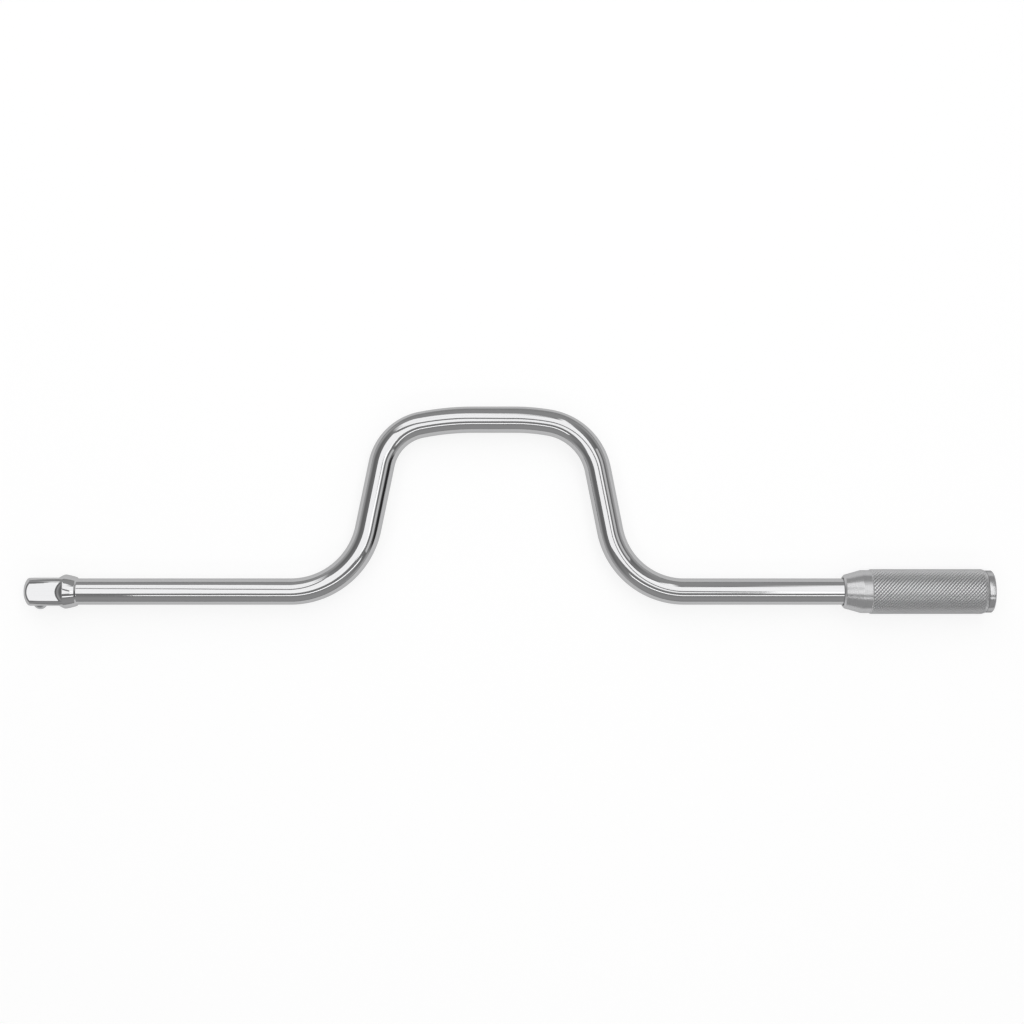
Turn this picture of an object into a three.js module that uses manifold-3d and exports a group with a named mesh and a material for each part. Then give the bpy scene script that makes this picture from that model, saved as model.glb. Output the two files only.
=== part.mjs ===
// Speed brace for half-inch square sockets: a cranked rod with a forged drive end, a sprung detent ball
// and a revolving knurled grip. Millimetres. The tool spins about X, its drive's end face lies at X = 0,
// the crank is thrown towards +Y, and the tool lies flat with +Z up.
import * as THREE from "three";
import { mergeVertices } from "three/addons/utils/BufferGeometryUtils.js";
import Module from "manifold-3d";

// Rod and crank
const rodDiameter = 12;
const crankThrow = 78.3; // spin axis to the crown's centreline
const driveRun = 120.75; // drive's end face to the first bend
const crownRun = 18.7; // straight in the middle of the crown
const gripRun = 72.15; // last bend to the grip's nose
// Each side rises in a lower bend and a straight leg, then turns into the crown in a tight bend that
// eases off. Radii are of the centreline, and angles are in degrees from the spin axis.
const driveSide = {
  legAngle: 78.25,
  lowerRadius: 36.1,
  upperRadius: 22.9,
  easeRadius: 122.6,
  easeAngle: 11.2,
};
const gripSide = {
  legAngle: 78.7,
  lowerRadius: 34.4,
  upperRadius: 27.3,
  easeRadius: 93.7,
  easeAngle: 9.8,
};

// Drive square and collar
const driveSquare = 12.6; // across the flats
const cornerRise = 1.4; // turned corners above the flats, in radius
const driveLength = 15.1; // end face to the collar's flare
const noseLength = 3.3; // turned round of the drive's end
const noseFaceDiameter = 7;
const noseFullness = 0.68; // bulge of the round: 0 hollow, 0.25 straight, 1 full
const collarRise = 0.1; // collar's crest above the square's corners, in radius
const flareLength = 3.4; // full rise from the flats to the collar's crest
const taperLength = 4.9; // fall from the crest to the collar's foot
const taperFullness = 0.7; // bulge of the taper: 0 hollow, 0.5 straight, 1 full
const footRise = 0.62; // step from the collar's foot down to the rod, in radius
const footLength = 0.6;

// Detent
const ballDiameter = 6.35;
const ballStandOut = 1.75;
const detentSetback = 6.8; // drive's end face to the ball's centre
const detentFloor = 2.8; // steel left between the bore and the square's far face
const lipDepth = 0.9; // staked lip that keeps the ball in
const springWire = 0.6;
const springInset = 0.58; // coil inside the ball's size, in radius
const springPitch = 1.3;

// Grip
const bushWall = 1.6;
const barrelWall = 2.05; // under the plain band
const noseRim = 0.55; // wall of the nose at its face
const noseChamfer = 0.85; // rise of the nose's chamfer, in radius
const noseChamferLength = 0.75;
const coneLength = 7.4;
const bandLength = 4;
const knurlRise = 0.4; // knurl's crests above the plain band
const knurlLength = 50.4;
const rearChamfer = 0.62; // fall from the crests to the cap's flange, in radius
const rearChamferLength = 1.7;
const capFlange = 3;
const capSpigot = 5.6;
const capEdge = 0.4; // broken edge of the cap
const noseWall = 4.35; // length of the nose hole in front of the bore
const bushLength = 9.7;
const washerThickness = 1;
const padThickness = 1.2;
const ringThickness = 1.2;
const ringGapAngle = 40; // opening of the split ring, degrees
const grooveDepth = 0.8;
const journalStandOut = 1.5; // shaft's end past the rear bush
const journalChamfer = 0.8;

// Clearances
const noseGap = 0.3; // radial, round the rod in the nose hole
const ringGap = 0.55; // radial, between the retaining ring and the bore
const runningGap = 0.1; // radial, between the shaft and what turns on it
const pressGap = 0.05; // radial, round a piece pressed into the bore
const seatGap = 0.15; // between faces that meet end to end
const ballGap = 0.1; // round the ball, in its bore and under its lip

// Fineness of round shapes
const roundSides = 32;
const ballSides = 24;
const wireSides = 5;
const stepsPerTurn = 8; // along the spring's wire
const bendStep = 7; // degrees between rings along a bend
const curveSteps = 6; // points along each curved stretch of a turned outline
const cutMargin = 1; // how far a cutter stands out of what it cuts
const jointSink = 0.1; // how far a joined shape's end is sunk in its neighbour
const weld = 1e-4; // vertices closer than this are one

const rodRadius = rodDiameter / 2;
const halfSquare = driveSquare / 2;
const cornerRadius = halfSquare + cornerRise;
const crestRadius = cornerRadius + collarRise;
const crestX = driveLength + flareLength;

const ballRadius = ballDiameter / 2;
const ballDepth = ballRadius - ballStandOut; // ball's centre under the face of the square
const detentDepth = driveSquare - detentFloor;

const runningRadius = rodRadius + runningGap;
const pressedRadius = runningRadius + bushWall;
const boreRadius = pressedRadius + pressGap;
const bandRadius = boreRadius + barrelWall;
const knurlRadius = bandRadius + knurlRise;
const capRadius = knurlRadius - rearChamfer;
const noseHole = rodRadius + noseGap;
const noseRadius = noseHole + noseRim;
const noseConeRadius = noseRadius + noseChamfer;

const wasm = await Module();
wasm.setup();

// A closed geometry as a solid that can be cut and joined.
function solidOf(geometry) {
  const bare = geometry.clone();
  bare.deleteAttribute("normal");
  bare.deleteAttribute("uv");
  const merged = mergeVertices(bare, weld);
  const corners = merged.index.array;
  const kept = [];
  for (let i = 0; i < corners.length; i += 3) {
    const [a, b, c] = corners.slice(i, i + 3);
    if (a !== b && b !== c && c !== a) kept.push(a, b, c);
  }
  const vertProperties = merged.attributes.position.array;
  const triVerts = new Uint32Array(kept);
  return new wasm.Manifold(new wasm.Mesh({ numProp: 3, vertProperties, triVerts }));
}

function geometryOf(solid) {
  const made = solid.getMesh();
  const geometry = new THREE.BufferGeometry();
  geometry.setAttribute("position", new THREE.BufferAttribute(made.vertProperties, 3));
  geometry.setIndex(new THREE.BufferAttribute(made.triVerts, 1));
  geometry.computeVertexNormals();
  return geometry;
}

// A solid of revolution about X, from points [x, radius] that run over the outside towards +X.
function turned(points, sides = roundSides) {
  const outline = points.map(([x, radius]) => new THREE.Vector2(radius, x));
  return new THREE.LatheGeometry(outline, sides).rotateZ(-Math.PI / 2);
}

// A plain ring about X.
function ringAbout(start, length, outer, inner) {
  const end = start + length;
  return turned([
    [start, inner],
    [start, outer],
    [end, outer],
    [end, inner],
    [start, inner],
  ]);
}

function piece(name, geometry, colour, roughness, metalness = 1) {
  const material = new THREE.MeshStandardMaterial({ color: colour, roughness, metalness });
  const mesh = new THREE.Mesh(geometry, material);
  mesh.name = name;
  return mesh;
}

const chrome = (name, geometry) => piece(name, geometry, 0xd4d6d8, 0.08);
const satinSteel = (name, geometry) => piece(name, geometry, 0xb4b6b8, 0.35);
const bronze = (name, geometry) => piece(name, geometry, 0xa5803f, 0.45);

// The rod's centreline as a list of rings, laid out straight by straight and bend by bend.
class BentRod extends THREE.Curve {
  constructor(x) {
    super();
    this.heading = 0;
    this.rings = [];
    this.place(new THREE.Vector3(x, 0, 0));
  }

  place(point) {
    const tangent = new THREE.Vector3(Math.cos(this.heading), Math.sin(this.heading), 0);
    this.rings.push({ point, tangent });
  }

  straight(length) {
    const { point, tangent } = this.rings.at(-1);
    this.place(point.clone().addScaledVector(tangent, length));
  }

  bend(angle, radius) {
    const { point, tangent } = this.rings.at(-1);
    const side = Math.sign(angle);
    const inward = new THREE.Vector3(-tangent.y, tangent.x, 0).multiplyScalar(side);
    const centre = point.clone().addScaledVector(inward, radius);
    const start = this.heading;
    const steps = Math.ceil(Math.abs(angle) / THREE.MathUtils.degToRad(bendStep));
    for (let step = 1; step <= steps; step += 1) {
      this.heading = start + (angle * step) / steps;
      const outward = new THREE.Vector3(Math.sin(this.heading), -Math.cos(this.heading), 0);
      this.place(centre.clone().addScaledVector(outward, radius * side));
    }
  }

  ring(u) {
    return this.rings[Math.round(u * (this.rings.length - 1))];
  }

  getPointAt(u) {
    return this.ring(u).point.clone();
  }

  getTangentAt(u) {
    return this.ring(u).tangent.clone();
  }
}

// The straight part of a leg, and how far along X one side of the crank reaches.
function measureSide({ legAngle, lowerRadius, upperRadius, easeRadius, easeAngle }) {
  const leg = THREE.MathUtils.degToRad(legAngle);
  const ease = THREE.MathUtils.degToRad(easeAngle);
  const lowerRise = lowerRadius * (1 - Math.cos(leg));
  const upperRise = upperRadius * (Math.cos(ease) - Math.cos(leg));
  const easeRise = easeRadius * (1 - Math.cos(ease));
  const straight = (crankThrow - lowerRise - upperRise - easeRise) / Math.sin(leg);
  const bends = lowerRadius * Math.sin(leg) + upperRadius * (Math.sin(leg) - Math.sin(ease));
  const reach = bends + straight * Math.cos(leg) + easeRadius * Math.sin(ease);
  return { leg, ease, straight, reach };
}

const driveMeasure = measureSide(driveSide);
const gripMeasure = measureSide(gripSide);
const gripStart = driveRun + driveMeasure.reach + crownRun + gripMeasure.reach + gripRun;

// Places along the grip, measured from its nose.
const coneStart = noseChamferLength;
const bandStart = coneStart + coneLength;
const bandEnd = bandStart + bandLength;
const knurlStart = bandEnd + knurlRise;
const knurlEnd = knurlStart + knurlLength;
const sleeveLength = knurlEnd + rearChamferLength;
const flangeStart = sleeveLength + seatGap;
const spigotStart = flangeStart - capSpigot;
const padStart = spigotStart - seatGap - padThickness;
const shaftEnd = padStart - seatGap;
const rearBushStart = shaftEnd - journalStandOut - bushLength;
const frontBushStart = noseWall + seatGap;
const washerStart = frontBushStart + bushLength + seatGap;
const ringStart = washerStart + washerThickness + seatGap;
const grooveStart = ringStart - seatGap;
const grooveWidth = ringThickness + 2 * seatGap;
const grooveRadius = rodRadius - grooveDepth;

// The bar from inside the collar to the journal's end.
function bentBar() {
  const path = new BentRod(crestX);
  path.straight(driveRun - crestX);
  path.bend(driveMeasure.leg, driveSide.lowerRadius);
  path.straight(driveMeasure.straight);
  path.bend(driveMeasure.ease - driveMeasure.leg, driveSide.upperRadius);
  path.bend(-driveMeasure.ease, driveSide.easeRadius);
  path.straight(crownRun);
  path.bend(-gripMeasure.ease, gripSide.easeRadius);
  path.bend(gripMeasure.ease - gripMeasure.leg, gripSide.upperRadius);
  path.straight(gripMeasure.straight);
  path.bend(gripMeasure.leg, gripSide.lowerRadius);
  path.straight(gripRun + shaftEnd);
  const section = new THREE.Shape().absarc(0, 0, rodRadius, 0, 2 * Math.PI);
  const steps = path.rings.length - 1;
  return new THREE.ExtrudeGeometry(section, { extrudePath: path, steps, curveSegments: roundSides / 2 });
}

// The square with its turned corners and rounded end.
function driveBlock() {
  const faceRadius = noseFaceDiameter / 2;
  const nose = new THREE.QuadraticBezierCurve(
    new THREE.Vector2(0, faceRadius),
    new THREE.Vector2(noseLength / 4, THREE.MathUtils.lerp(faceRadius, cornerRadius, noseFullness)),
    new THREE.Vector2(noseLength, cornerRadius),
  );
  const outline = nose.getPoints(curveSteps).map(({ x, y }) => [x, y]);
  const blank = turned([[0, 0], ...outline, [crestX, cornerRadius], [crestX, 0]], 2 * roundSides);
  const prism = new THREE.BoxGeometry(crestX + 2 * cutMargin, driveSquare, driveSquare);
  prism.translate(crestX / 2, 0, 0);
  return solidOf(blank).intersect(solidOf(prism));
}

// The forged bead between the square and the rod. Its ends are sunk in both.
function collar() {
  const footX = crestX + taperLength;
  const footRadius = rodRadius + footRise;
  const rootX = footX + footLength + jointSink;
  const flare = new THREE.QuadraticBezierCurve(
    new THREE.Vector2(driveLength, halfSquare - jointSink),
    new THREE.Vector2(crestX - flareLength / 3, crestRadius),
    new THREE.Vector2(crestX, crestRadius),
  );
  const taper = new THREE.QuadraticBezierCurve(
    new THREE.Vector2(crestX, crestRadius),
    new THREE.Vector2(crestX + taperLength / 2, THREE.MathUtils.lerp(footRadius, crestRadius, taperFullness)),
    new THREE.Vector2(footX, footRadius),
  );
  const curves = [...flare.getPoints(curveSteps), ...taper.getPoints(curveSteps).slice(1)];
  const outline = curves.map(({ x, y }) => [x, y]);
  return turned([[driveLength, 0], ...outline, [rootX, rodRadius - jointSink], [rootX, 0]]);
}

// The blind bore for the ball and its spring, entered from the square's -Y face through the staked lip.
function detentBore() {
  const boreWall = ballRadius + ballGap;
  const mouth = Math.sqrt(ballRadius ** 2 - ballDepth ** 2) + ballGap;
  const outline = [
    [0, -cutMargin],
    [mouth, -cutMargin],
    [mouth, 0],
    [boreWall, lipDepth],
    [boreWall, detentDepth],
    [0, detentDepth],
  ];
  const points = outline.map(([radius, depth]) => new THREE.Vector2(radius, depth));
  return new THREE.LatheGeometry(points, roundSides).translate(detentSetback, -halfSquare, 0);
}

function crankShaft() {
  const grooveCut = ringAbout(gripStart + grooveStart, grooveWidth, rodRadius + cutMargin, grooveRadius);
  const journalEnd = gripStart + shaftEnd;
  const chamferCut = turned([
    [journalEnd - journalChamfer - cutMargin, rodRadius + cutMargin],
    [journalEnd + cutMargin, rodRadius + cutMargin],
    [journalEnd + cutMargin, rodRadius - journalChamfer - cutMargin],
    [journalEnd - journalChamfer - cutMargin, rodRadius + cutMargin],
  ]);
  const shaft = solidOf(bentBar())
    .add(solidOf(collar()))
    .add(driveBlock())
    .subtract(solidOf(detentBore()))
    .subtract(solidOf(grooveCut))
    .subtract(solidOf(chamferCut));
  return chrome("crank_shaft", geometryOf(shaft));
}

// The spring's wire as a helix about Y, from its seat near the ball to its seat on the bore's floor.
class SpringWire extends THREE.Curve {
  constructor(radius, start, end) {
    super();
    this.radius = radius;
    this.start = start;
    this.end = end;
    this.turns = (end - start) / springPitch;
  }

  getPoint(t) {
    const angle = 2 * Math.PI * this.turns * t;
    const depth = THREE.MathUtils.lerp(this.start, this.end, t);
    return new THREE.Vector3(this.radius * Math.cos(angle), depth, this.radius * Math.sin(angle));
  }
}

// The least clear distance between the spring's neighbouring turns, measured on points along its wire.
function coilGap(points) {
  let least = Infinity;
  for (let i = 0; i < points.length; i += 1) {
    for (let j = i + Math.floor(stepsPerTurn / 2); j < points.length; j += 1) {
      least = Math.min(least, points[i].distanceTo(points[j]) - springWire);
    }
  }
  return least;
}

function detentSpring() {
  const wireRadius = springWire / 2;
  const coilRadius = ballRadius - springInset - wireRadius;
  const wireToBall = ballRadius + wireRadius + ballGap;
  const start = ballDepth + Math.sqrt(wireToBall ** 2 - coilRadius ** 2);
  const end = detentDepth - seatGap - wireRadius;
  const wire = new SpringWire(coilRadius, start, end);
  const steps = Math.ceil(stepsPerTurn * wire.turns);
  console.log(`least gap between the spring's turns ${coilGap(wire.getSpacedPoints(steps)).toFixed(2)} mm`);
  const sideAngle = (2 * Math.PI) / wireSides;
  const corners = Array.from({ length: wireSides }, (_, side) => {
    const angle = side * sideAngle;
    return new THREE.Vector2(Math.cos(angle), Math.sin(angle)).multiplyScalar(wireRadius);
  });
  const section = new THREE.Shape(corners);
  const geometry = new THREE.ExtrudeGeometry(section, { extrudePath: wire, steps });
  return satinSteel("detent_spring", geometryOf(solidOf(geometry)));
}

// The ball and spring, measured along +Y from the face that the ball stands out of.
function detent() {
  const group = new THREE.Group();
  group.position.set(detentSetback, -halfSquare, 0);
  const ball = chrome("detent_ball", new THREE.SphereGeometry(ballRadius, ballSides, ballSides / 2));
  ball.position.y = ballDepth;
  group.add(ball, detentSpring());
  return group;
}

// The barrel: tapered nose, plain band, knurled length and rear chamfer, bored from the back.
function gripSleeve() {
  const outline = [
    [0, noseHole],
    [0, noseRadius],
    [coneStart, noseConeRadius],
    [bandStart, bandRadius],
    [bandEnd, bandRadius],
    [knurlStart, knurlRadius],
    [knurlEnd, knurlRadius],
    [sleeveLength, capRadius],
    [sleeveLength, boreRadius],
    [noseWall, boreRadius],
    [noseWall, noseHole],
    [0, noseHole],
  ];
  return satinSteel("grip_sleeve", turned(outline));
}

// The split ring, flat across X, open towards +Z.
function retainingRing() {
  const inner = grooveRadius + runningGap;
  const outer = boreRadius - ringGap;
  const halfGap = THREE.MathUtils.degToRad(ringGapAngle / 2);
  const from = Math.PI / 2 + halfGap;
  const to = Math.PI / 2 - halfGap + 2 * Math.PI;
  const outline = new THREE.Shape().absarc(0, 0, outer, from, to);
  outline.absarc(0, 0, inner, to, from, true);
  const settings = { depth: ringThickness, bevelEnabled: false, curveSegments: roundSides / 2 };
  const geometry = new THREE.ExtrudeGeometry(outline, settings);
  geometry.rotateX(Math.PI / 2).rotateZ(Math.PI / 2);
  const mesh = satinSteel("retaining_ring", geometryOf(solidOf(geometry)));
  mesh.position.x = ringStart;
  return mesh;
}

// The plug that closes the barrel, with its flange as the plain ring at the tool's end.
function endCap() {
  const end = flangeStart + capFlange;
  const outline = [
    [spigotStart, 0],
    [spigotStart, pressedRadius - capEdge],
    [spigotStart + capEdge, pressedRadius],
    [flangeStart, pressedRadius],
    [flangeStart, capRadius],
    [end - capEdge, capRadius],
    [end, capRadius - capEdge],
    [end, 0],
  ];
  return chrome("end_cap", geometryOf(solidOf(turned(outline))));
}

// The revolving grip and what holds it on, measured along X from the nose.
function grip() {
  const group = new THREE.Group();
  group.position.x = gripStart;
  const washer = ringAbout(washerStart, washerThickness, pressedRadius - runningGap, runningRadius);
  const pad = turned([
    [padStart, 0],
    [padStart, pressedRadius],
    [padStart + padThickness, pressedRadius],
    [padStart + padThickness, 0],
  ]);
  group.add(
    gripSleeve(),
    bronze("front_bush", ringAbout(frontBushStart, bushLength, pressedRadius, runningRadius)),
    bronze("rear_bush", ringAbout(rearBushStart, bushLength, pressedRadius, runningRadius)),
    satinSteel("thrust_washer", washer),
    retainingRing(),
    bronze("thrust_pad", geometryOf(solidOf(pad))),
    endCap(),
  );
  return group;
}

const brace = new THREE.Group();
brace.add(crankShaft(), detent(), grip());

export default brace;
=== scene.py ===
"""Speed brace: fine meshes and finishes for its solids, and the plain studio that it lies in.

Metres, in the frame of the solids: the tool spins about X, its drive's end face lies at X = 0, the crank is
thrown towards +Y, and the tool lies flat with +Z up.
"""
import math
from functools import partial

import bmesh
import bpy
import numpy as np
from bpy.props import FloatProperty, FloatVectorProperty, IntProperty, PointerProperty
from mathutils import Matrix, Vector


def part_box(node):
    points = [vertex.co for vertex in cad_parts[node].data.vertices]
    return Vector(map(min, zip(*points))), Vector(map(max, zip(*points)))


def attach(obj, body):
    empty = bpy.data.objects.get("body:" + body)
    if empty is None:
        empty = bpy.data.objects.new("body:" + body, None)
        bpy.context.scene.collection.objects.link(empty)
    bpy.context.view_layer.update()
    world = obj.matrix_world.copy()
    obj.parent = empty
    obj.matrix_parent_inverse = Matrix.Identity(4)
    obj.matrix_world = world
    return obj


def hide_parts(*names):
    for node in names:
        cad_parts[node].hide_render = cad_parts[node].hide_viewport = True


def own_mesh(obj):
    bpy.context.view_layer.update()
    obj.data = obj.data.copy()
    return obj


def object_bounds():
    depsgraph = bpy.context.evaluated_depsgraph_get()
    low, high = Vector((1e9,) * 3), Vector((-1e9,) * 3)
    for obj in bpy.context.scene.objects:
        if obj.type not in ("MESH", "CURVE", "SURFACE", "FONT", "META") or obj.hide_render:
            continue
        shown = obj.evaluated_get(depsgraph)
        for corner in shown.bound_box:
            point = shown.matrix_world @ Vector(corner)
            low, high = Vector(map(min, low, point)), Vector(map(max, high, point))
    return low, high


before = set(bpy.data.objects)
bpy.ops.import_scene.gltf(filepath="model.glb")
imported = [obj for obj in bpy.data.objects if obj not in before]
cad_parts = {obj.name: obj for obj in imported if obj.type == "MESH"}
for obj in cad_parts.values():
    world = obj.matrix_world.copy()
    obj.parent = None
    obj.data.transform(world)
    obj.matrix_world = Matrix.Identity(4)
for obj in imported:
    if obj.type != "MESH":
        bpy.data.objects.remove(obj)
cad_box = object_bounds()

bl_info = {
    "name": "Speed brace",
    "version": (1, 0, 0),
    "blender": (4, 5, 0),
    "location": "3D View > Sidebar > Speed Brace",
    "description": "Fine meshes, finishes and a studio for a half-inch speed brace",
    "category": "Add Mesh",
}

MM = 0.001
ROD = 12 * MM
TURN = 2 * math.pi
WHITE = (1, 1, 1, 1)

# Fineness of the meshes
BAR_SIDES = 192
KNURL_STEPS = 8  # per pitch of the knurl, along and around
CAP_SIDES = 192
BALL_SIDES = 64
BORE_SIDES = 96
WIRE_SIDES = 16
COIL_STEPS = 48  # per turn of the spring
CURVE_STEPS = 28  # along each curved stretch of the drive's outline
EDGE_STEPS = 4  # along each broken edge
BEND_STEP = math.radians(1.6)  # between rings along a bend
WELD = 1e-7
SEAM_WELD = 5e-6  # where the knurled sheet meets the turned barrel
NODE_STEP = 220  # between nodes in the editor
CORNER_SHARE = 0.45  # of the way to the next corner, at most, goes into a broken edge

# Edges sharper than these stay crisp, in degrees
SHAFT_CRISP = 38
ROUND_CRISP = 60
BARREL_CRISP = 25
CAP_CRISP = 40

# Values that the meshes carry for their finishes
BLANK_PLACE = "blank_place"  # a point's place on the bar before it was bent
# The knurl height also places the knurl's painted groove shade
KNURL_HEIGHT = "knurl_height"  # 0 in the deeper grooves, 1 on the crests and the turned ends
KNURLED = "knurled"

_, shaft_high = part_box("crank_shaft")
sleeve_low, sleeve_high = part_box("grip_sleeve")
cap_low, cap_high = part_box("end_cap")
ball_low, ball_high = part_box("detent_ball")
spring_low, spring_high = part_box("detent_spring")
ring_low, ring_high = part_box("retaining_ring")
bush_low, bush_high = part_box("front_bush")


def linear(code):
    """An sRGB hex colour as linear red, green, blue and alpha."""
    parts = [int(code[at:at + 2], 16) / 255 for at in (1, 3, 5)]
    return (*(p / 12.92 if p <= 0.04045 else ((p + 0.055) / 1.055) ** 2.4 for p in parts), 1.0)


def length(name, description, default):
    return FloatProperty(name=name, description=description, default=default, precision=5,
                         subtype="DISTANCE", unit="LENGTH")


def angle(name, description, degrees):
    return FloatProperty(name=name, description=description, default=math.radians(degrees),
                         subtype="ANGLE", unit="ROTATION")


def share(name, description, default):
    return FloatProperty(name=name, description=description, default=default, subtype="FACTOR", min=0, max=1)


def radiance(name, description, default):
    return FloatProperty(name=name, description=description, default=default, min=0)


def colour(name, description, code):
    return FloatVectorProperty(name=name, description=description, default=linear(code),
                               subtype="COLOR", size=4, min=0, max=1)


class CrankSizes(bpy.types.PropertyGroup):
    """The bar and the straights between its bends."""

    rod_diameter: length("Rod diameter", "Across the round bar", ROD)
    throw: length("Crank throw", "Spin axis to the crown's centreline", shaft_high.y - ROD / 2)
    drive_run: length("Drive run", "Drive's end face to the first bend", 120.75 * MM)
    crown_run: length("Crown run", "Straight in the middle of the crown", 18.7 * MM)
    groove_depth: length("Groove depth", "Groove of the retaining ring", 0.8 * MM)
    groove_play: length("Groove play", "Between the ring and each wall of its groove", 0.15 * MM)
    end_chamfer: length("End chamfer", "Chamfer of the journal's end", 0.8 * MM)


def side_bends(leg, lower, upper, ease, ease_turn):
    """The sizes of one side of the crank, with angles in degrees and radii of the centreline."""
    return {
        "leg_angle": angle("Leg angle", "Leg from the spin axis", leg),
        "lower_radius": length("Lower bend", "Radius between the spin axis and the leg", lower),
        "upper_radius": length("Upper bend", "Radius between the leg and the crown", upper),
        "ease_radius": length("Easing bend", "Radius in which the upper bend runs out", ease),
        "ease_angle": angle("Easing angle", "Turn of the easing bend", ease_turn),
    }


class DriveSideBends(bpy.types.PropertyGroup):
    """The crank's side next to the drive."""

    __annotations__ = side_bends(leg=78.25, lower=36.1 * MM, upper=22.9 * MM, ease=122.6 * MM, ease_turn=11.2)


class GripSideBends(bpy.types.PropertyGroup):
    """The crank's side next to the grip."""

    __annotations__ = side_bends(leg=78.7, lower=34.4 * MM, upper=27.3 * MM, ease=93.7 * MM, ease_turn=9.8)


class DriveSizes(bpy.types.PropertyGroup):
    """The square, its collar and the detent in it."""

    square: length("Square", "Across the flats", 12.6 * MM)
    drive_length: length("Drive length", "End face to the collar's flare", 15.1 * MM)
    nose_length: length("Nose length", "Turned round of the drive's end", 3.3 * MM)
    nose_face: length("Nose face", "Diameter of the flat end face", 7 * MM)
    nose_fullness: share("Nose fullness", "Bulge of the nose between face and corners", 0.68)
    collar_rise: length("Collar rise", "Collar's crest above the square's corners", 0.1 * MM)
    flare_length: length("Flare length", "Full rise from the flats to the crest", 3.4 * MM)
    taper_length: length("Taper length", "Fall from the crest to the collar's foot", 4.9 * MM)
    taper_fullness: share("Taper fullness", "Bulge of the taper", 0.7)
    foot_rise: length("Foot rise", "Step from the collar's foot down to the rod", 0.62 * MM)
    foot_length: length("Foot length", "Along the spin axis", 0.6 * MM)
    foot_edge: length("Foot edge", "Broken edge and fillet of the collar's foot", 0.18 * MM)
    edge_round: length("Edge round", "Polished round on the square's edges", 0.42 * MM)
    nose_round: length("Nose round", "Polished round between the nose and the flats", 0.9 * MM)
    fillet: length("Fillet", "Forged fillet between the square and the collar", 0.4 * MM)
    bore_play: length("Bore play", "Between the ball and its bore", 0.1 * MM)
    bore_depth: length("Bore depth", "From the square's face", 9.8 * MM)
    lip_depth: length("Lip depth", "Staked lip that keeps the ball in", 0.9 * MM)
    spring_wire: length("Spring wire", "Diameter of the spring's wire", 0.6 * MM)
    spring_pitch: length("Spring pitch", "Between the spring's turns", 1.3 * MM)
    press_travel: length("Press travel", "How far the ball can be pressed in", 1.7 * MM)


class GripSizes(bpy.types.PropertyGroup):
    """The barrel, its knurl and its cap."""

    nose_play: length("Nose play", "Round the rod in the nose hole", 0.3 * MM)
    nose_rim: length("Nose rim", "Wall of the nose at its face", 0.55 * MM)
    nose_mouth: length("Nose mouth", "Countersink of the nose hole", 0.3 * MM)
    nose_chamfer: length("Nose chamfer", "Rise of the nose's chamfer", 0.85 * MM)
    nose_chamfer_length: length("Nose chamfer length", "Along the spin axis", 0.75 * MM)
    cone_length: length("Cone length", "Along the spin axis", 7.4 * MM)
    band_length: length("Band length", "Plain band in front of the knurl", 4 * MM)
    knurl_depth: length("Knurl depth", "Crests above the grooves", 0.4 * MM)
    knurl_starts: IntProperty(name="Knurl starts", description="Grooves of each hand round the barrel",
                              default=37)
    knurl_rows: IntProperty(name="Knurl rows", description="Diamonds along the barrel", default=33)
    knurl_flat: share("Knurl flat", "Height at which the diamonds' points are cut off", 1 / 2)
    knurl_lift: share("Knurl lift", "How much less deep one hand's grooves are than the other's", 0.22)
    chamfer_length: length("Rear chamfer length", "Along the spin axis", 1.7 * MM)
    edge: length("Edges", "Broken edges of the turned pieces", 0.12 * MM)
    cap_edge: length("Cap edge", "Broken edge of the cap", 0.4 * MM)
    seat_gap: length("Seat gap", "Between faces that meet end to end", 0.15 * MM)
    press_gap: length("Press gap", "Round the pieces pressed into the bore", 0.05 * MM)


class FinishColours(bpy.types.PropertyGroup):
    """Reflectance of the metals, looked at straight on."""

    chrome: colour("Chrome", "Bright chrome plate", "#C5C5C6")
    chrome_haze: colour("Chrome haze", "Bright chrome plate along the belt's lines", "#BCBCBD")
    satin: colour("Satin", "Satin chrome on turned steel", "#D2D2D3")
    satin_lines: colour("Satin lines", "Bottoms of the turning marks", "#B2B2B3")
    # Painted shade: the knurl's grooves are given this darker colour
    groove: colour("Grooves", "Oil and dust in the knurl's grooves", "#959596")
    ball: colour("Ball", "Hardened and polished bearing steel", "#BFC0C1")
    ball_stain: colour("Ball stain", "Faint stain of oil on the ball", "#AEAFB0")
    spring: colour("Spring steel", "Drawn and blanked spring steel", "#8D8E90")
    spring_scale: colour("Spring scale", "Darker temper scale on the spring steel", "#6A6B6E")
    bronze: colour("Bronze", "Sintered bronze", "#B08D57")
    bronze_pores: colour("Bronze pores", "Oil in the bronze's pores", "#5E4526")


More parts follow.
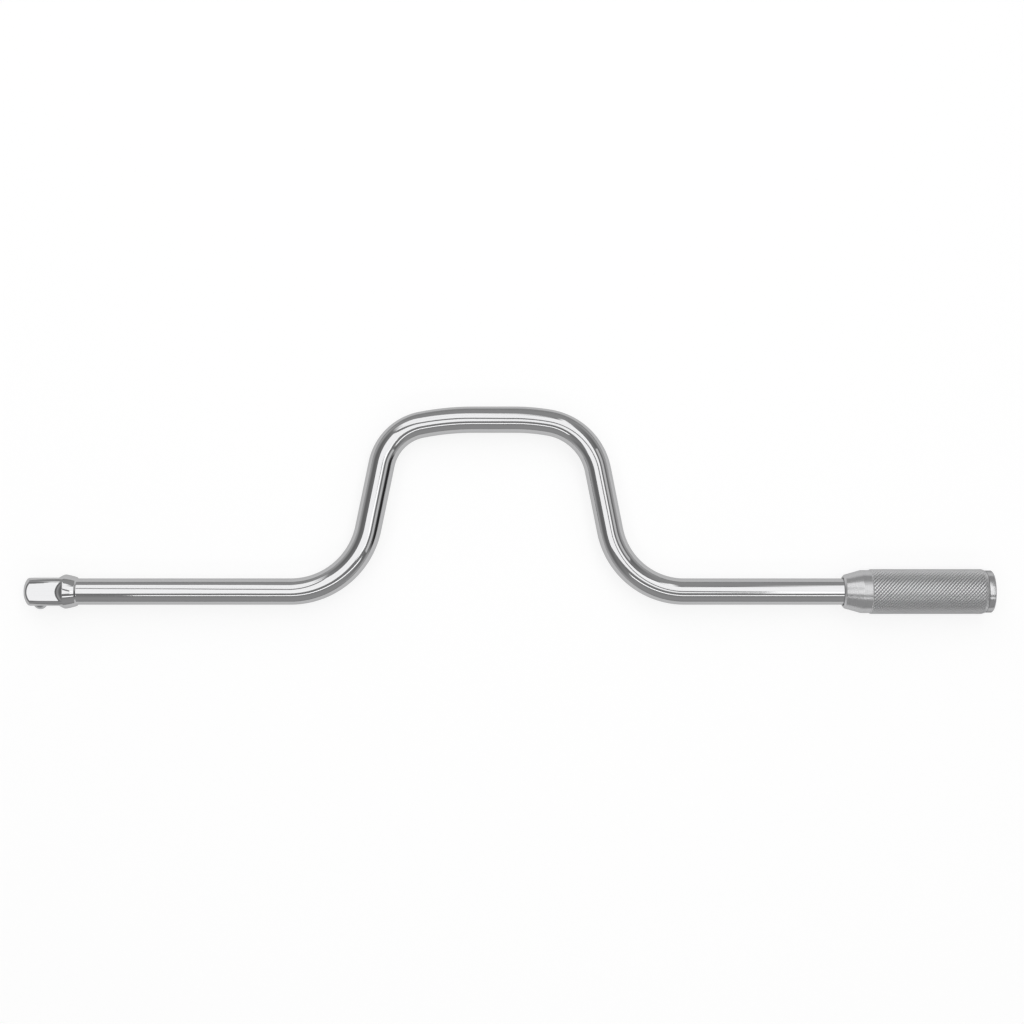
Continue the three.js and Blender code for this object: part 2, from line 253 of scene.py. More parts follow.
class StudioSettings(bpy.types.PropertyGroup):
    """Camera, floor and soft lights."""

    camera_place: FloatVectorProperty(
        name="Camera", description="Place of the camera, which looks straight down",
        default=(0.2216, 0.03624, 0.8), subtype="TRANSLATION", unit="LENGTH")
    camera_lens: FloatProperty(name="Lens", description="Focal length", default=61.73, unit="CAMERA")
    floor_size: length("Floor", "Side of the floor", 9.0)
    paper_width: length("Paper", "Width of the white paper that the metal mirrors", 0.2)
    paper_middle: length("Paper's middle", "Place of the paper's middle across the tool", 0.005)
    paper_colour: colour("Paper colour", "White paper", "#F2F2F2")
    table_colour: colour("Table colour", "Pale table beside the paper", "#B8B8B8")
    horizon: colour("Room at eye level", "Grey of the room's sides", "#B0B0B0")
    zenith: colour("Room overhead", "Grey of the room between the lamps", "#959595")
    ends_low: colour("Ends, low", "Grey of the room's ends near the floor", "#D2D2D2")
    ends_high: colour("Ends, high", "Grey of the room's ends higher up", "#828282")
    doorway: share("Doorway", "How dark the doorway beyond the grip is", 0.93)
    panel_light: radiance("Panels", "Radiance of the soft panels overhead", 1.62)
    high_light: radiance("High panel", "Radiance of the soft panel above the grip's end", 2.0)
    side_light: radiance("Side panels", "Radiance of the soft panels beyond the crank", 1.6)
    end_light: radiance("End strip", "Radiance of the narrow panel at the grip's end", 0.85)
    near_light: radiance("Near light", "Radiance of the narrow lamp on the near side", 1.9)


def feed(node, inputs):
    """Sets each input of the node to a value, or links it from a node or a socket."""
    for key, value in inputs.items():
        if isinstance(value, bpy.types.Node):
            value = value.outputs[0]
        if isinstance(value, bpy.types.NodeSocket):
            node.id_data.links.new(value, node.inputs[key])
        else:
            node.inputs[key].default_value = value


def add_node(tree, kind, inputs=(), **settings):
    """A node with its settings, and with its inputs set or linked."""
    node = tree.nodes.new(kind)
    node.location.x = NODE_STEP * len(tree.nodes)
    for name, value in settings.items():
        setattr(node, name, value)
    feed(node, dict(inputs))
    return node


# Tint of a metal's reflection at a glancing angle
GLANCING = "#E2E2E2"
GRIP_GLANCING = "#A8A8A8"  # the knurl and the cap darken towards their edges

# Most of a noise's values lie between these
NOISE_LOW, NOISE_HIGH = 0.3, 0.7


def metal(name, edge_tint):
    """A metal named for what it is and how its surface was made, what adds its nodes, and its shader."""
    material = bpy.data.materials.new(name)
    material.use_nodes = True
    shader = material.node_tree.nodes["Principled BSDF"]
    feed(shader, {"Metallic": 1, "Specular Tint": linear(edge_tint)})
    return material, partial(add_node, material.node_tree), shader


def bright_chrome(finishes):
    """Bright chrome plate on a belt-polished bar: a clear mirror, left faintly wavy and lined by the belt.

    The lines are drawn far wider than a belt's grit leaves them, so that they show.
    """
    material, add, shader = metal("Bright chrome plate on polished steel", GLANCING)
    clear, hazy, wave_depth = 0.035, 0.075, 0.018 * MM
    belt_lines = {"reach": 60 * MM, "width": 0.45 * MM, "detail": 2}
    belt_waves = {"reach": 14 * MM, "width": 5 * MM, "detail": 1}
    place = add("ShaderNodeAttribute", attribute_name=BLANK_PLACE)
    noises = []
    for mark in (belt_lines, belt_waves):
        drawn = add("ShaderNodeMapping", {
            "Vector": place.outputs["Vector"],
            "Scale": (1 / mark["reach"], 1 / mark["width"], 1 / mark["width"])})
        noises.append(add("ShaderNodeTexNoise", {"Vector": drawn, "Scale": 1, "Detail": mark["detail"]}))
    lines, waves = noises
    haze = add("ShaderNodeMix", {
        "Factor": lines, "A": finishes.chrome, "B": finishes.chrome_haze}, data_type="RGBA")
    rough = add("ShaderNodeMapRange", {
        "Value": lines, "From Min": NOISE_LOW, "From Max": NOISE_HIGH, "To Min": clear, "To Max": hazy})
    bump = add("ShaderNodeBump", {"Height": waves, "Distance": wave_depth})
    feed(shader, {"Base Color": haze.outputs["Result"], "Roughness": rough, "Normal": bump})
    return material


def turned_metal(name, base, line_colour, edge_tint, roughness, stretch, line_width, line_depth):
    """Turned metal: rings of fine tool marks stretch each highlight along the spin axis."""
    material, add, shader = metal(name, edge_tint)
    uneven = 0.15  # how much duller the marks' bottoms are, and clearer their tops
    quarter_turn = 0.25
    place = add("ShaderNodeTexCoord")
    split = add("ShaderNodeSeparateXYZ", {0: place.outputs["Object"]})
    across = add("ShaderNodeCombineXYZ", {"Y": split.outputs["Y"], "Z": split.outputs["Z"]})
    radius = add("ShaderNodeVectorMath", {0: across}, operation="LENGTH")
    along = add("ShaderNodeMath", {0: split.outputs["X"], 1: radius.outputs["Value"]}, operation="ADD")
    rings = add("ShaderNodeMath", {0: along, 1: 1 / line_width}, operation="MULTIPLY")
    marks = add("ShaderNodeTexNoise", {"W": rings, "Scale": 1, "Detail": 2}, noise_dimensions="1D")
    tone = add("ShaderNodeMix", {"Factor": marks, "A": line_colour, "B": base}, data_type="RGBA")
    rough = add("ShaderNodeMapRange", {
        "Value": marks, "From Min": NOISE_LOW, "From Max": NOISE_HIGH,
        "To Min": (1 + uneven) * roughness, "To Max": (1 - uneven) * roughness})
    bump = add("ShaderNodeBump", {"Height": marks, "Distance": line_depth})
    tangent = add("ShaderNodeTangent", direction_type="RADIAL", axis="X")
    feed(shader, {
        "Base Color": tone.outputs["Result"], "Roughness": rough, "Normal": bump, "Tangent": tangent,
        "Anisotropic": stretch, "Anisotropic Rotation": quarter_turn})
    return material


def satin_chrome(finishes):
    """Satin chrome on turned steel. Its marks are drawn 0.3 mm wide, three times their feed, to show."""
    return turned_metal("Satin chrome on turned steel", finishes.satin, finishes.satin_lines, GLANCING,
                        roughness=0.32, stretch=0.5, line_width=0.3 * MM, line_depth=0.004 * MM)


def polished_ring(finishes):
    """Fine-turned and buffed steel: clearer than the barrel, and darker at its edges than the plated bar.

    Its marks are drawn 0.25 mm wide, coarser than fine turning leaves them, so that they show.
    """
    return turned_metal("Buffed fine-turned steel", finishes.chrome, finishes.chrome_haze, GRIP_GLANCING,
                        roughness=0.23, stretch=0.4, line_width=0.25 * MM, line_depth=0.002 * MM)


def knurled_chrome(finishes):
    """Satin chrome on rolled knurling, with painted shade: the grooves are painted darker than the crests,
    and random specks break this up.
    """
    material, add, shader = metal("Satin chrome on knurled steel", GRIP_GLANCING)
    speck_size, speck_share = 0.5 * MM, 0.5
    shaded_height, unshaded_height = 0.2, 0.65
    groove_roughness, crest_roughness = 0.42, 0.31
    height = add("ShaderNodeAttribute", attribute_name=KNURL_HEIGHT)
    place = add("ShaderNodeTexCoord")
    specks = add("ShaderNodeTexNoise", {
        "Vector": place.outputs["Object"], "Scale": 1 / speck_size, "Detail": 3})
    lightness = add("ShaderNodeMath", {
        0: specks, 1: speck_share, 2: height.outputs["Fac"]}, operation="MULTIPLY_ADD")
    # Painted shade: the deeper a point lies in the knurl, the nearer its colour comes to the darker groove
    # colour, with random specks mixed in
    clean = add("ShaderNodeMapRange", {"Value": lightness, "From Min": shaded_height, "From Max": unshaded_height})
    tone = add("ShaderNodeMix", {
        "Factor": clean, "A": finishes.groove, "B": finishes.satin}, data_type="RGBA")
    rough = add("ShaderNodeMapRange", {
        "Value": clean, "To Min": groove_roughness, "To Max": crest_roughness})
    feed(shader, {"Base Color": tone.outputs["Result"], "Roughness": rough})
    return material


def speckled_metal(name, base, spots, roughness, spot_size, spot_level):
    """Metal with small darker and duller spots, which begin where a noise falls below their level."""
    material, add, shader = metal(name, GLANCING)
    spot_blur, spot_dulling = 0.2, 1.5
    place = add("ShaderNodeTexCoord")
    noise = add("ShaderNodeTexNoise", {
        "Vector": place.outputs["Object"], "Scale": 1 / spot_size, "Detail": 3})
    spotted = add("ShaderNodeMapRange", {
        "Value": noise, "From Min": spot_level, "From Max": spot_level - spot_blur})
    tone = add("ShaderNodeMix", {"Factor": spotted, "A": base, "B": spots}, data_type="RGBA")
    rough = add("ShaderNodeMapRange", {
        "Value": spotted, "To Min": roughness, "To Max": spot_dulling * roughness})
    feed(shader, {"Base Color": tone.outputs["Result"], "Roughness": rough})
    return material


def ball_steel(finishes):
    """Lapped bearing steel: a clean mirror with a trace of oil."""
    return speckled_metal("Lapped bearing steel", finishes.ball, finishes.ball_stain,
                          roughness=0.09, spot_size=1.2 * MM, spot_level=0.57)


def spring_steel(finishes):
    """Tempered spring steel: dull grey, with darker scale left from the heat."""
    return speckled_metal("Tempered spring steel", finishes.spring, finishes.spring_scale,
                          roughness=0.35, spot_size=0.8 * MM, spot_level=0.52)


def sintered_bronze(finishes):
    """Sintered bronze: matt and sandy, with oil dark in its pores."""
    return speckled_metal("Sintered bronze", finishes.bronze, finishes.bronze_pores,
                          roughness=0.45, spot_size=0.15 * MM, spot_level=0.545)


def bezier(points, steps):
    """Points along the curve that these control points give."""
    at = np.linspace(0, 1, steps + 1)[:, None]
    row = [np.asarray(point, float)[None] for point in points]
    while len(row) > 1:
        row = [(1 - at) * a + at * b for a, b in zip(row, row[1:])]
    return row[0]


def eased(outline, edge):
    """The outline with each corner rounded off over that length. Its two ends stay."""
    corners = [np.asarray(point, float) for point in outline]
    parts = [corners[0][None]]
    for before, corner, after in zip(corners, corners[1:], corners[2:]):
        ends = []
        for other in (before, after):
            reach = np.linalg.norm(other - corner)
            ends.append(corner + (other - corner) * min(edge, CORNER_SHARE * reach) / reach)
        parts.append(bezier([ends[0], corner, ends[1]], EDGE_STEPS))
    parts.append(corners[-1][None])
    return np.concatenate(parts)


def soft_min(a, b, blend):
    """The lesser of two surfaces, with the edge between them rounded."""
    near = np.maximum(blend - np.abs(a - b), 0) / blend
    return np.minimum(a, b) - near**2 * blend / 4


def soft_max(a, b, blend):
    """The greater of two surfaces, with the corner between them filled."""
    return -soft_min(-a, -b, blend)


def mend(mesh):
    """Merges doubled points and turns every face outwards."""
    work = bmesh.new()
    work.from_mesh(mesh)
    bmesh.ops.remove_doubles(work, verts=work.verts, dist=WELD)
    bmesh.ops.recalc_face_normals(work, faces=work.faces)
    work.to_mesh(mesh)
    work.free()


def around(sides):
    return np.linspace(0, TURN, sides, endpoint=False)


def ringed_mesh(name, stations, radii):
    """A skin over rings about X, each at its station and with its radius all the way round."""
    count, sides = radii.shape
    turn = around(sides)
    along = np.repeat(stations[:, None], sides, axis=1)
    points = np.stack([along, radii * np.cos(turn), radii * np.sin(turn)], -1)
    index = np.arange(count * sides).reshape(count, sides)
    beside = np.roll(index, -1, axis=1)
    quads = np.stack([index[:-1], index[1:], beside[1:], beside[:-1]], -1)
    mesh = bpy.data.meshes.new(name)
    mesh.from_pydata(points.reshape(-1, 3).tolist(), [], quads.reshape(-1, 4).tolist())
    mend(mesh)
    return mesh


def turned_mesh(name, outline, sides):
    """A skin turned about X from points of place and radius."""
    stations, radii = np.asarray(outline, float).T
    return ringed_mesh(name, stations, np.repeat(radii[:, None], sides, axis=1))


def new_piece(name, mesh, *materials):
    piece = bpy.data.objects.new(name, mesh)
    for material in materials:
        mesh.materials.append(material)
    bpy.context.scene.collection.objects.link(piece)
    return piece


def settle(piece):
    """Makes the piece's evaluated shape its plain mesh and removes its modifiers."""
    graph = bpy.context.evaluated_depsgraph_get()
    mesh = bpy.data.meshes.new_from_object(
        piece.evaluated_get(graph), preserve_all_data_layers=True, depsgraph=graph)
    piece.modifiers.clear()
    piece.data = mesh
    mend(mesh)


def shade(piece, sharp_degrees):
    """Smooth shading, broken at edges sharper than that."""
    piece.data.shade_smooth()
    piece.data.set_sharp_from_angle(angle=math.radians(sharp_degrees))


def seat(piece, body, node):
    """The piece stands for a solid and moves with its body."""
    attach(piece, body)
    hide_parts(node)


def new_tree(name, sizes):
    """A new tree of geometry nodes with an input for each size: what adds its nodes, and its inputs."""
    kinds = {float: "NodeSocketFloat", int: "NodeSocketInt", bpy.types.Material: "NodeSocketMaterial"}
    tree = bpy.data.node_groups.new(name, "GeometryNodeTree")
    for way in ("INPUT", "OUTPUT"):
        tree.interface.new_socket("Geometry", in_out=way, socket_type="NodeSocketGeometry")
    for label, value in sizes.items():
        tree.interface.new_socket(label, in_out="INPUT", socket_type=kinds[type(value)])
    return partial(add_node, tree), add_node(tree, "NodeGroupInput").outputs


def grow(piece, shape, finish, sizes, where=True):
    """Ends the shape's tree in a real mesh with its finish, and puts it on the piece with these sizes."""
    tree = shape.id_data
    real = add_node(tree, "GeometryNodeRealizeInstances", {"Geometry": shape})
    done = add_node(tree, "GeometryNodeSetMaterial", {
        "Geometry": real, "Selection": where, "Material": finish})
    add_node(tree, "NodeGroupOutput", {"Geometry": done})
    modifier = piece.modifiers.new(tree.name, "NODES")
    modifier.node_group = tree
    for socket in tree.interface.items_tree:
        if socket.in_out == "INPUT" and socket.name in sizes:
            modifier[socket.identifier] = sizes[socket.name]


def side_measures(side, throw):
    """The straight of a leg, and how far along X that side of the crank reaches."""
    leg, ease = side.leg_angle, side.ease_angle
    rise = side.lower_radius * (1 - math.cos(leg))
    rise += side.upper_radius * (math.cos(ease) - math.cos(leg))
    rise += side.ease_radius * (1 - math.cos(ease))
    straight = (throw - rise) / math.sin(leg)
    reach = side.lower_radius * math.sin(leg) + straight * math.cos(leg)
    reach += side.upper_radius * (math.sin(leg) - math.sin(ease)) + side.ease_radius * math.sin(ease)
    return straight, reach


def bend_schedule(crank, drive_side, grip_side):
    """The bends along the straight bar as (name, start, turn, radius), and how much bar they take up."""
    drive_leg, drive_reach = side_measures(drive_side, crank.throw)
    grip_leg, grip_reach = side_measures(grip_side, crank.throw)
    steps = (
        ("Drive lower", crank.drive_run, drive_side.leg_angle, drive_side.lower_radius),
        ("Drive upper", drive_leg, drive_side.ease_angle - drive_side.leg_angle, drive_side.upper_radius),
        ("Drive easing", 0.0, -drive_side.ease_angle, drive_side.ease_radius),
        ("Grip easing", crank.crown_run, -grip_side.ease_angle, grip_side.ease_radius),
        ("Grip upper", 0.0, grip_side.ease_angle - grip_side.leg_angle, grip_side.upper_radius),
        ("Grip lower", grip_leg, grip_side.leg_angle, grip_side.lower_radius),
    )
    bends = []
    station = 0.0
    for name, straight, turn, radius in steps:
        station += straight
        bends.append((name, station, turn, radius))
        station += abs(turn) * radius
    reached = crank.drive_run + drive_reach + crank.crown_run + grip_reach
    return bends, station - reached


def drive_rings(crank, drive):
    """Stations and radii of the forged drive end: the square, its turned nose and the collar behind it."""
    rod, half = crank.rod_diameter / 2, drive.square / 2
    crest = shaft_high.z
    corner = crest - drive.collar_rise
    face = drive.nose_face / 2
    foot = rod + drive.foot_rise
    crest_x = drive.drive_length + drive.flare_length
    foot_x = crest_x + drive.taper_length
    foot_end = (foot_x + drive.foot_length + drive.foot_edge, rod - drive.foot_edge)
    bulge = face + (corner - face) * drive.nose_fullness
    shoulder = foot + (crest - foot) * drive.taper_fullness
    nose = bezier([(0, face), (drive.nose_length / 4, bulge), (drive.nose_length, corner)], CURVE_STEPS)
    flare = bezier([(drive.drive_length - drive.fillet, half - drive.fillet),
                    (crest_x - drive.flare_length / 3, crest), (crest_x, crest)], CURVE_STEPS)
    taper = bezier([(crest_x, crest), (crest_x + drive.taper_length / 2, shoulder), (foot_x, foot)],
                   CURVE_STEPS)
    step = eased([taper[-2], taper[-1], foot_end], drive.foot_edge)
    collar = np.concatenate([flare, taper[1:-2], step])
    foot_rings = np.linspace(foot_x + drive.foot_edge, foot_end[0] + drive.foot_edge, CURVE_STEPS)
    stations = np.unique(np.concatenate([nose[:, 0], collar[:, 0], foot_rings]))
    turn = around(BAR_SIDES)
    flats = half / np.maximum(np.abs(np.cos(turn)), np.abs(np.sin(turn)))
    blank = np.interp(stations, nose[:, 0], nose[:, 1])[:, None]
    rounds = np.interp(stations, [0, drive.nose_length], [drive.nose_round, drive.edge_round])[:, None]
    block = soft_min(blank, flats[None], rounds)
    block[stations > crest_x] = 0
    bead = np.interp(stations, collar[:, 0], collar[:, 1], left=0)[:, None]
    bar = np.where(stations > crest_x, rod, 0)[:, None]
    radii = soft_max(soft_max(block, bead, drive.fillet), bar, drive.foot_edge)
    return np.concatenate([[0], stations]), np.concatenate([np.zeros((1, BAR_SIDES)), radii])


def bar_outline(crank, bends, taken_up):
    """Stations and radii of the plain bar, ringed closely in each bend, and of its journal's end."""
    rod = crank.rod_diameter / 2
    groove = rod - crank.groove_depth
    groove_start = ring_low.x - crank.groove_play + taken_up
    groove_end = ring_high.x + crank.groove_play + taken_up
    end = shaft_high.x + taken_up
    outline = []
    for _, start, turn, radius in bends:
        steps = math.ceil(abs(turn) / BEND_STEP)
        outline += [(station, rod) for station in np.linspace(start, start + abs(turn) * radius, steps + 1)]
    outline += [(groove_start, rod), (groove_start, groove), (groove_end, groove), (groove_end, rod)]
    outline += [(end - crank.end_chamfer, rod), (end, rod - crank.end_chamfer), (end, 0)]
    return np.array(outline).T


def detent_bore(drive):
    """The cutter for the blind bore of the ball and spring, with the staked lip at its mouth."""
    ball = (ball_high.x - ball_low.x) / 2
    face = -drive.square / 2
    depth = (ball_low.y + ball_high.y) / 2 - face
    wall = ball + drive.bore_play
    mouth = math.sqrt(ball**2 - depth**2) + drive.bore_play
    clear = face - wall
    outline = [(clear, 0), (clear, mouth), (face, mouth), (face + drive.lip_depth, wall),
               (face + drive.bore_depth, wall), (face + drive.bore_depth, 0)]
    mesh = turned_mesh("detent_bore", outline, BORE_SIDES)
    middle = (ball_low.x + ball_high.x) / 2
    mesh.transform(Matrix.Translation((middle, 0, 0)) @ Matrix.Rotation(TURN / 4, 4, "Z"))
    return new_piece("detent_bore", mesh)


def bend_stroke():
    """One stroke of the bender: the bar wraps round the former from its start, and the rest swings along."""
    add, given = new_tree("Bend stroke", {"Station": 0.0, "Start": 0.0, "Turn": 0.0, "Radius": 0.0})
    fed = add("ShaderNodeMath", {0: given["Station"], 1: given["Start"]}, operation="SUBTRACT")
    wrap = add("ShaderNodeMath", {0: fed, 1: given["Radius"]}, operation="DIVIDE")
    full = add("ShaderNodeMath", {0: given["Turn"]}, operation="ABSOLUTE")
    hand = add("ShaderNodeMath", {0: given["Turn"]}, operation="SIGN")
    wrapped = add("ShaderNodeClamp", {"Value": wrap, "Min": 0.0, "Max": full})
    turn = add("ShaderNodeMath", {0: wrapped, 1: hand}, operation="MULTIPLY")
    used = add("ShaderNodeMath", {
        0: wrapped, 1: given["Radius"], 2: given["Start"]}, operation="MULTIPLY_ADD")
    datum = add("ShaderNodeCombineXYZ", {"X": used})
    place = add("GeometryNodeInputPosition")
    rest = add("ShaderNodeVectorMath", {0: place, 1: datum}, operation="SUBTRACT")
    swung = add("ShaderNodeVectorRotate", {"Vector": rest, "Angle": turn}, rotation_type="Z_AXIS")
    sine, cosine = (add("ShaderNodeMath", {0: wrapped}, operation=name) for name in ("SINE", "COSINE"))
    along = add("ShaderNodeMath", {
        0: sine, 1: given["Radius"], 2: given["Start"]}, operation="MULTIPLY_ADD")
    drop = add("ShaderNodeMath", {0: 1.0, 1: cosine}, operation="SUBTRACT")
    lift = add("ShaderNodeMath", {0: drop, 1: given["Radius"]}, operation="MULTIPLY")
    aside = add("ShaderNodeMath", {0: lift, 1: hand}, operation="MULTIPLY")
    arc = add("ShaderNodeCombineXYZ", {"X": along, "Y": aside})
    bent = add("ShaderNodeVectorMath", {0: swung, 1: arc}, operation="ADD")
    moved = add("GeometryNodeSetPosition", {"Geometry": given["Geometry"], "Position": bent})
    return add("NodeGroupOutput", {"Geometry": moved}).id_data


def bent_bar(piece, bends, material):
    """Bends the piece, a straight bar, in a stroke for each bend. The last bend on the bar comes first."""
    sizes = {"Finish": material}
    for name, start, turn, radius in bends:
        sizes |= {f"{name} start": start, f"{name} turn": turn, f"{name} radius": radius}
    add, given = new_tree("Bent bar", sizes)
    stroke = bend_stroke()
    place = add("GeometryNodeInputPosition")
    shape = add("GeometryNodeStoreNamedAttribute", {
        "Geometry": given["Geometry"], "Name": BLANK_PLACE, "Value": place},
        data_type="FLOAT_VECTOR", domain="POINT")
    blank = add("GeometryNodeInputNamedAttribute", {"Name": BLANK_PLACE}, data_type="FLOAT_VECTOR")
    split = add("ShaderNodeSeparateXYZ", {0: blank})
    for name, *_ in reversed(bends):
        shape = add("GeometryNodeGroup", {
            "Geometry": shape, "Station": split.outputs["X"], "Start": given[f"{name} start"],
            "Turn": given[f"{name} turn"], "Radius": given[f"{name} radius"]}, node_tree=stroke)
    grow(piece, shape, given["Finish"], sizes)


def knurled_barrel(piece, sizes):
    """Closes the turned barrel with a diamond-knurled sheet.

    The sheet is first a flat grid in pitches, u along and v around. Grooves lie where u + v or u - v is
    whole, and each face is split along the nearer groove, so that every groove and crest is an edge.
    """
    add, given = new_tree("Knurled barrel", sizes)
    along_points, round_points = (
        add("ShaderNodeMath", {0: given[count], 1: given["Steps"], 2: 1.0}, operation="MULTIPLY_ADD")
        for count in ("Rows", "Starts"))
    grid = add("GeometryNodeMeshGrid", {
        "Size X": given["Rows"], "Size Y": given["Starts"],
        "Vertices X": along_points, "Vertices Y": round_points})
    split = add("ShaderNodeSeparateXYZ", {0: add("GeometryNodeInputPosition")})
    u, v = (
        add("ShaderNodeMath", {0: given[count], 1: 0.5, 2: split.outputs[axis]}, operation="MULTIPLY_ADD")
        for count, axis in (("Rows", "X"), ("Starts", "Y")))
    heights = []  # of each hand: its floor in the grooves, and 1 more midway between them
    for operation, floor in (("ADD", 0.0), ("SUBTRACT", given["Lift"])):
        hand = add("ShaderNodeMath", {0: u, 1: v}, operation=operation)
        ridge = add("ShaderNodeMath", {0: hand, 1: 0.5}, operation="PINGPONG")
        heights.append(add("ShaderNodeMath", {0: ridge, 1: 2.0, 2: floor}, operation="MULTIPLY_ADD"))
    nearer = add("FunctionNodeCompare", {"A": heights[0], "B": heights[1]}, operation="LESS_THAN")
    one_hand = add("GeometryNodeTriangulate", {
        "Mesh": grid, "Selection": nearer}, quad_method="FIXED_ALTERNATE")
    both_hands = add("GeometryNodeTriangulate", {"Mesh": one_hand}, quad_method="FIXED")
    point = add("ShaderNodeMath", {0: heights[0], 1: heights[1]}, operation="MINIMUM")
    cut = add("ShaderNodeMath", {0: point, 1: given["Flat"]}, operation="MINIMUM")
    height = add("ShaderNodeMath", {0: cut, 1: given["Flat"]}, operation="DIVIDE")
    crest = add("ShaderNodeMath", {
        0: height, 1: given["Depth"], 2: given["Root radius"]}, operation="MULTIPLY_ADD")
    pitch = add("ShaderNodeMath", {0: given["Length"], 1: given["Rows"]}, operation="DIVIDE")
    along = add("ShaderNodeMath", {0: u, 1: pitch}, operation="MULTIPLY")
    front = add("ShaderNodeMath", {0: along, 1: given["Root radius"]}, operation="ADD")
    left = add("ShaderNodeMath", {0: given["Length"], 1: along}, operation="SUBTRACT")
    rear = add("ShaderNodeMath", {
        0: left, 1: given["Rear slope"], 2: given["Rear radius"]}, operation="MULTIPLY_ADD")
    ends = add("ShaderNodeMath", {0: front, 1: rear}, operation="MINIMUM")
    radius = add("ShaderNodeMath", {0: crest, 1: ends}, operation="MINIMUM")
    turned = add("FunctionNodeCompare", {"A": crest, "B": ends}, operation="GREATER_THAN")
    lightness = add("ShaderNodeMath", {0: height, 1: turned}, operation="MAXIMUM")
    toned = add("GeometryNodeStoreNamedAttribute", {
        "Geometry": both_hands, "Name": KNURL_HEIGHT, "Value": lightness}, data_type="FLOAT", domain="POINT")
    marked = add("GeometryNodeStoreNamedAttribute", {
        "Geometry": toned, "Name": KNURLED, "Value": True}, data_type="BOOLEAN", domain="FACE")
    part = add("ShaderNodeMath", {0: v, 1: given["Starts"]}, operation="DIVIDE")
    turn = add("ShaderNodeMath", {0: part, 1: TURN}, operation="MULTIPLY")
    sine, cosine = (add("ShaderNodeMath", {0: turn}, operation=name) for name in ("SINE", "COSINE"))
    x = add("ShaderNodeMath", {0: along, 1: given["Start"]}, operation="ADD")
    y, z = (add("ShaderNodeMath", {0: radius, 1: way}, operation="MULTIPLY") for way in (cosine, sine))
    place = add("ShaderNodeCombineXYZ", {"X": x, "Y": y, "Z": z})
    rolled = add("GeometryNodeSetPosition", {"Geometry": marked, "Position": place})
    joined = add("GeometryNodeJoinGeometry", {0: given["Geometry"]})
    feed(joined, {0: rolled})
    welded = add("GeometryNodeMergeByDistance", {"Geometry": joined, "Distance": SEAM_WELD})
    sheet = add("GeometryNodeInputNamedAttribute", {"Name": KNURLED}, data_type="BOOLEAN")
    grow(piece, welded, given["Finish"], sizes, where=sheet)


def wound_spring(piece, sizes):
    """The spring's wire, swept along a helix about Y from the ball to the bore's floor."""
    add, given = new_tree("Wound spring", sizes)
    helix = add("GeometryNodeCurveSpiral", {
        "Resolution": given["Steps"], "Rotations": given["Turns"], "Start Radius": given["Coil radius"],
        "End Radius": given["Coil radius"], "Height": given["Height"]})
    section = add("GeometryNodeCurvePrimitiveCircle", {
        "Resolution": WIRE_SIDES, "Radius": given["Wire radius"]})
    wire = add("GeometryNodeCurveToMesh", {
        "Curve": helix, "Profile Curve": section.outputs["Curve"], "Fill Caps": True})
    base = add("ShaderNodeCombineXYZ", {"X": given["Centre X"], "Y": given["Start Y"]})
    stood = add("GeometryNodeTransform", {
        "Geometry": wire, "Translation": base, "Rotation": (-TURN / 4, 0, 0)})
    grow(piece, stood, given["Finish"], sizes)


class SPEEDBRACE_OT_crank_shaft(bpy.types.Operator):
    """Forge the drive end on a straight bar, bore it for the detent and bend the crank"""

    bl_idname = "speed_brace.crank_shaft"
    bl_label = "Crank Shaft"

    def execute(self, context):
        scene = context.scene
        crank, drive = scene.brace_crank, scene.brace_drive
        bends, taken_up = bend_schedule(crank, scene.brace_drive_side, scene.brace_grip_side)
        drive_stations, drive_radii = drive_rings(crank, drive)
        bar_stations, bar_radii = bar_outline(crank, bends, taken_up)
        stations = np.concatenate([drive_stations, bar_stations])
        radii = np.concatenate([drive_radii, np.repeat(bar_radii[:, None], BAR_SIDES, axis=1)])
        piece = new_piece("cranked_shaft", ringed_mesh("cranked_shaft", stations, radii))
        bore = detent_bore(drive)
        cut = piece.modifiers.new("Detent bore", "BOOLEAN")
        cut.operation = "DIFFERENCE"
        cut.solver = "EXACT"
        cut.object = bore
        bent_bar(piece, bends, bright_chrome(scene.brace_finish))
        settle(piece)
        bpy.data.objects.remove(bore)
        shade(piece, SHAFT_CRISP)
        seat(piece, "brace", "crank_shaft")
        return {"FINISHED"}


class SPEEDBRACE_OT_detent(bpy.types.Operator):
    """Make the detent's ball and the spring behind it"""

    bl_idname = "speed_brace.detent"
    bl_label = "Detent"

    def execute(self, context):
        drive, finish = context.scene.brace_drive, context.scene.brace_finish
        centre = (ball_low + ball_high) / 2
        radius = (ball_high.x - ball_low.x) / 2
        sweep = np.linspace(0, math.pi, BALL_SIDES // 2 + 1)
        outline = np.stack([-radius * np.cos(sweep), radius * np.sin(sweep)], -1)
        mesh = turned_mesh("ball", outline, BALL_SIDES)
        mesh.transform(Matrix.Translation(centre))
        ball = new_piece("ball", mesh, ball_steel(finish))
        shade(ball, ROUND_CRISP)
        seat(ball, "ball", "detent_ball")
        wire = drive.spring_wire / 2
        height = spring_high.y - spring_low.y - 2 * wire
        spring = new_piece("coil_spring", bpy.data.meshes.new("coil_spring"))
        wound_spring(spring, {
            "Coil radius": (spring_high.x - spring_low.x) / 2 - wire, "Wire radius": wire, "Height": height,
            "Turns": height / drive.spring_pitch, "Steps": COIL_STEPS, "Centre X": centre.x,
            "Start Y": spring_low.y + wire, "Finish": spring_steel(finish)})
        settle(spring)
        shade(spring, ROUND_CRISP)
        seat(spring, "brace", "detent_spring")
        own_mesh(spring)
        return {"FINISHED"}


